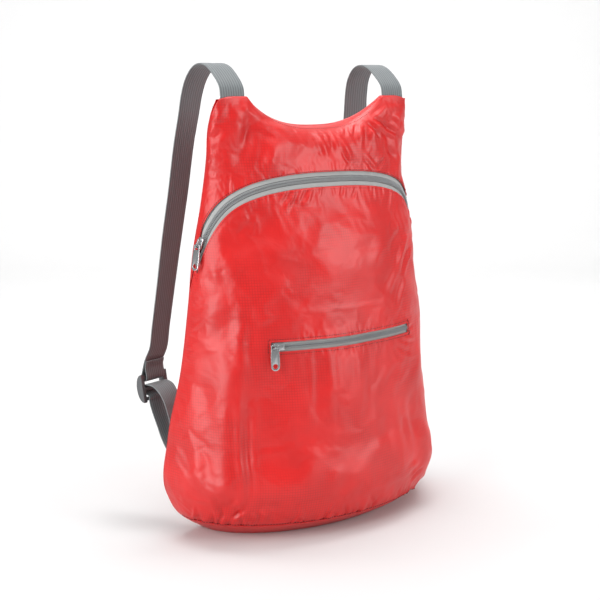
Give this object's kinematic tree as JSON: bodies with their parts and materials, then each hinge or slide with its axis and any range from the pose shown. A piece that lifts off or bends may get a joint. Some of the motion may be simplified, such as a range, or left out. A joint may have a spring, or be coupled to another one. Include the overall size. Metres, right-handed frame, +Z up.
{
  "type": "packable backpack",
  "caption": "Thin ripstop packable backpack, filled and standing, with an arched main zip, a front pocket zip, webbing shoulder straps and strap adjusters.",
  "frame": {"origin": "middle of the base on the floor, between the two side seams", "axes": "+Z up, the front with the pocket faces -Y, the shoulder straps lie on the +Y side, +X is to the right seen from the front"},
  "size_m": [0.2998, 0.1817, 0.4238],
  "materials": {
    "ripstop_nylon": "thin coated ripstop cloth with a soft sheen",
    "webbing": "ribbed polypropylene webbing",
    "zip_tape": "woven zip tape",
    "zip_coil": "nylon coil",
    "zip_metal": "nickel-plated zinc casting",
    "buckle_plastic": "moulded acetal"
  },
  "bodies": {
    "bag": {"front_panel": "ripstop_nylon", "yoke_panel": "ripstop_nylon", "back_panel": "ripstop_nylon", "bottom_panel": "ripstop_nylon", "main_zip_lower_tape": "zip_tape", "main_zip_upper_tape": "zip_tape", "main_zip_coil": "zip_coil", "main_zip_slider": "zip_metal", "pocket_zip_lower_tape": "zip_tape", "pocket_zip_upper_tape": "zip_tape", "pocket_zip_coil": "zip_coil", "pocket_zip_slider": "zip_metal", "left_upper_strap": "webbing", "left_lower_strap": "webbing", "left_buckle": "buckle_plastic", "right_upper_strap": "webbing", "right_lower_strap": "webbing", "right_buckle": "buckle_plastic"},
    "main_puller": {"main_zip_puller": "zip_metal"},
    "pocket_puller": {"pocket_zip_puller": "zip_metal"}
  },
  "joints": [
    {"name": "main_puller_hinge", "type": "hinge", "parent": "bag", "child": "main_puller", "pos_m": [-0.12277, 0.009, 0.26636], "axis": [-0.2768, 0.9609, 0], "range_deg": [0, 115]},
    {"name": "pocket_puller_hinge", "type": "hinge", "parent": "bag", "child": "pocket_puller", "pos_m": [-0.07433, -0.04512, 0.17866], "axis": [0.0396, 0.1082, 0.9933], "range_deg": [0, 140]}
  ]
}
